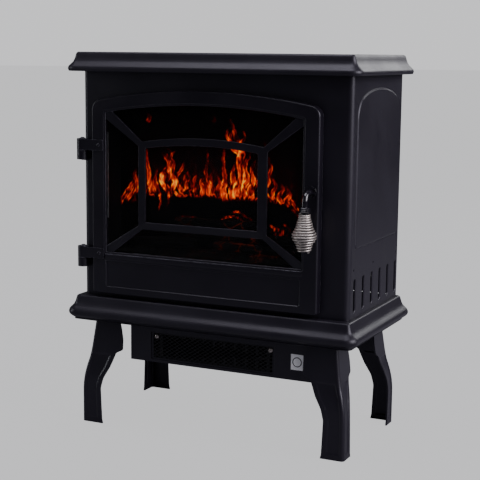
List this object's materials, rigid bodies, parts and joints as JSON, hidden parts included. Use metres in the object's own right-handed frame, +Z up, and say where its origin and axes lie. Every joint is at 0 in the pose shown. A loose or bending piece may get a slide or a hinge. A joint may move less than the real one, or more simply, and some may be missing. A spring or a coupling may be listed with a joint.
{
  "type": "electric fireplace",
  "caption": "Free-standing electric stove heater: black moulded sheet-metal casing on curved legs, hinged arched glass door with coil-spring handle, flame-effect firebox and fan heater below.",
  "frame": {"origin": "on the floor, under the middle of the whole object's box, door handle included", "axes": "+Z up, +X to the right seen from the front, -Y out of the front of the door"},
  "size_m": [0.438, 0.263, 0.53],
  "materials": {
    "black_coat": "satin black powder coat",
    "door_coat": "satin black enamel",
    "inner_black": "matt black",
    "bright_steel": "bright stainless wire",
    "galvanised": "zinc-coated sheet",
    "glass": "clear tempered",
    "screen": "translucent acrylic",
    "embers": "moulded ember resin",
    "log_bark": "painted log resin",
    "black_plastic": "fine-textured black",
    "red_rocker": "red translucent",
    "nylon": "natural nylon",
    "board": "white circuit board",
    "heater_fins": "plain fins"
  },
  "bodies": {
    "cabinet": {"top_plate": "black_coat", "base_plate": "black_coat", "front_panel": "black_coat", "left_side_panel": "black_coat", "right_side_panel": "black_coat", "rear_panel": "black_coat", "leg_front_left": "black_coat", "leg_front_right": "black_coat", "leg_rear_left": "black_coat", "leg_rear_right": "black_coat", "heater_housing": "black_coat", "outlet_grille": "black_coat", "hinge_leaf_lower": "door_coat", "hinge_leaf_upper": "door_coat", "hinge_pin_lower": "door_coat", "hinge_pin_upper": "door_coat", "firebox_shell": "inner_black", "outlet_screw_left": "bright_steel", "outlet_screw_right": "bright_steel", "blower_scroll": "galvanised", "blower_cheek": "galvanised", "blower_motor": "galvanised", "firebox_shelf": "galvanised", "flame_mask": "galvanised", "rotor_bracket": "galvanised", "motor_bracket": "galvanised", "flame_motor": "galvanised", "flame_screen": "screen", "ember_bed": "embers", "fire_log_back": "log_bark", "fire_log_left": "log_bark", "fire_log_right": "log_bark", "fire_log_top": "log_bark", "switch_bezel": "black_plastic", "switch_block": "black_plastic", "power_gland": "black_plastic", "rotor_bush": "nylon", "thermal_cutout": "nylon", "thermostat_body": "nylon", "led_board": "board", "ptc_heater": "heater_fins"},
    "door": {"door_frame": "door_coat", "door_grille": "door_coat", "glass_pane": "glass", "glass_clip_left": "galvanised", "glass_clip_bottom": "galvanised", "latch_bush": "door_coat", "hinge_strap_lower": "door_coat", "hinge_strap_upper": "door_coat"},
    "handle": {"handle_rod": "door_coat", "handle_ferrule": "door_coat", "spring_grip": "bright_steel", "latch_tongue": "galvanised"},
    "flicker": {"flicker_rotor": "bright_steel"},
    "blower": {"blower_wheel": "galvanised"},
    "switch_flame": {"rocker_flame": "red_rocker"},
    "switch_low_heat": {"rocker_low_heat": "black_plastic"},
    "switch_high_heat": {"rocker_high_heat": "black_plastic"},
    "thermostat_dial": {"thermostat_knob": "black_plastic"}
  },
  "joints": [
    {"name": "door_swing", "type": "hinge", "parent": "cabinet", "child": "door", "pos_m": [-0.1968, -0.09125, 0.336], "axis": [0, 0, -1], "range_deg": [0, 105]},
    {"name": "handle_turn", "type": "hinge", "parent": "door", "child": "handle", "pos_m": [0.1505, -0.09625, 0.355], "axis": [0, -1, 0], "range_deg": [0, 90]},
    {"name": "flicker_spin", "type": "hinge", "parent": "cabinet", "child": "flicker", "pos_m": [0, 0.00175, 0.29], "axis": [1, 0, 0], "continuous": true},
    {"name": "blower_spin", "type": "hinge", "parent": "cabinet", "child": "blower", "pos_m": [0, -0.02525, 0.1255], "axis": [1, 0, 0], "continuous": true},
    {"name": "switch_flame_tilt", "type": "hinge", "parent": "cabinet", "child": "switch_flame", "pos_m": [0.106, 0.12025, 0.43], "axis": [1, 0, 0], "range_deg": [-20, 0]},
    {"name": "switch_low_heat_tilt", "type": "hinge", "parent": "cabinet", "child": "switch_low_heat", "pos_m": [0.124, 0.12025, 0.43], "axis": [1, 0, 0], "range_deg": [-20, 0]},
    {"name": "switch_high_heat_tilt", "type": "hinge", "parent": "cabinet", "child": "switch_high_heat", "pos_m": [0.142, 0.12025, 0.43], "axis": [1, 0, 0], "range_deg": [-20, 0]},
    {"name": "thermostat_turn", "type": "hinge", "parent": "cabinet", "child": "thermostat_dial", "pos_m": [0.166, 0.12155, 0.43], "axis": [0, -1, 0], "range_deg": [-135, 135]}
  ]
}
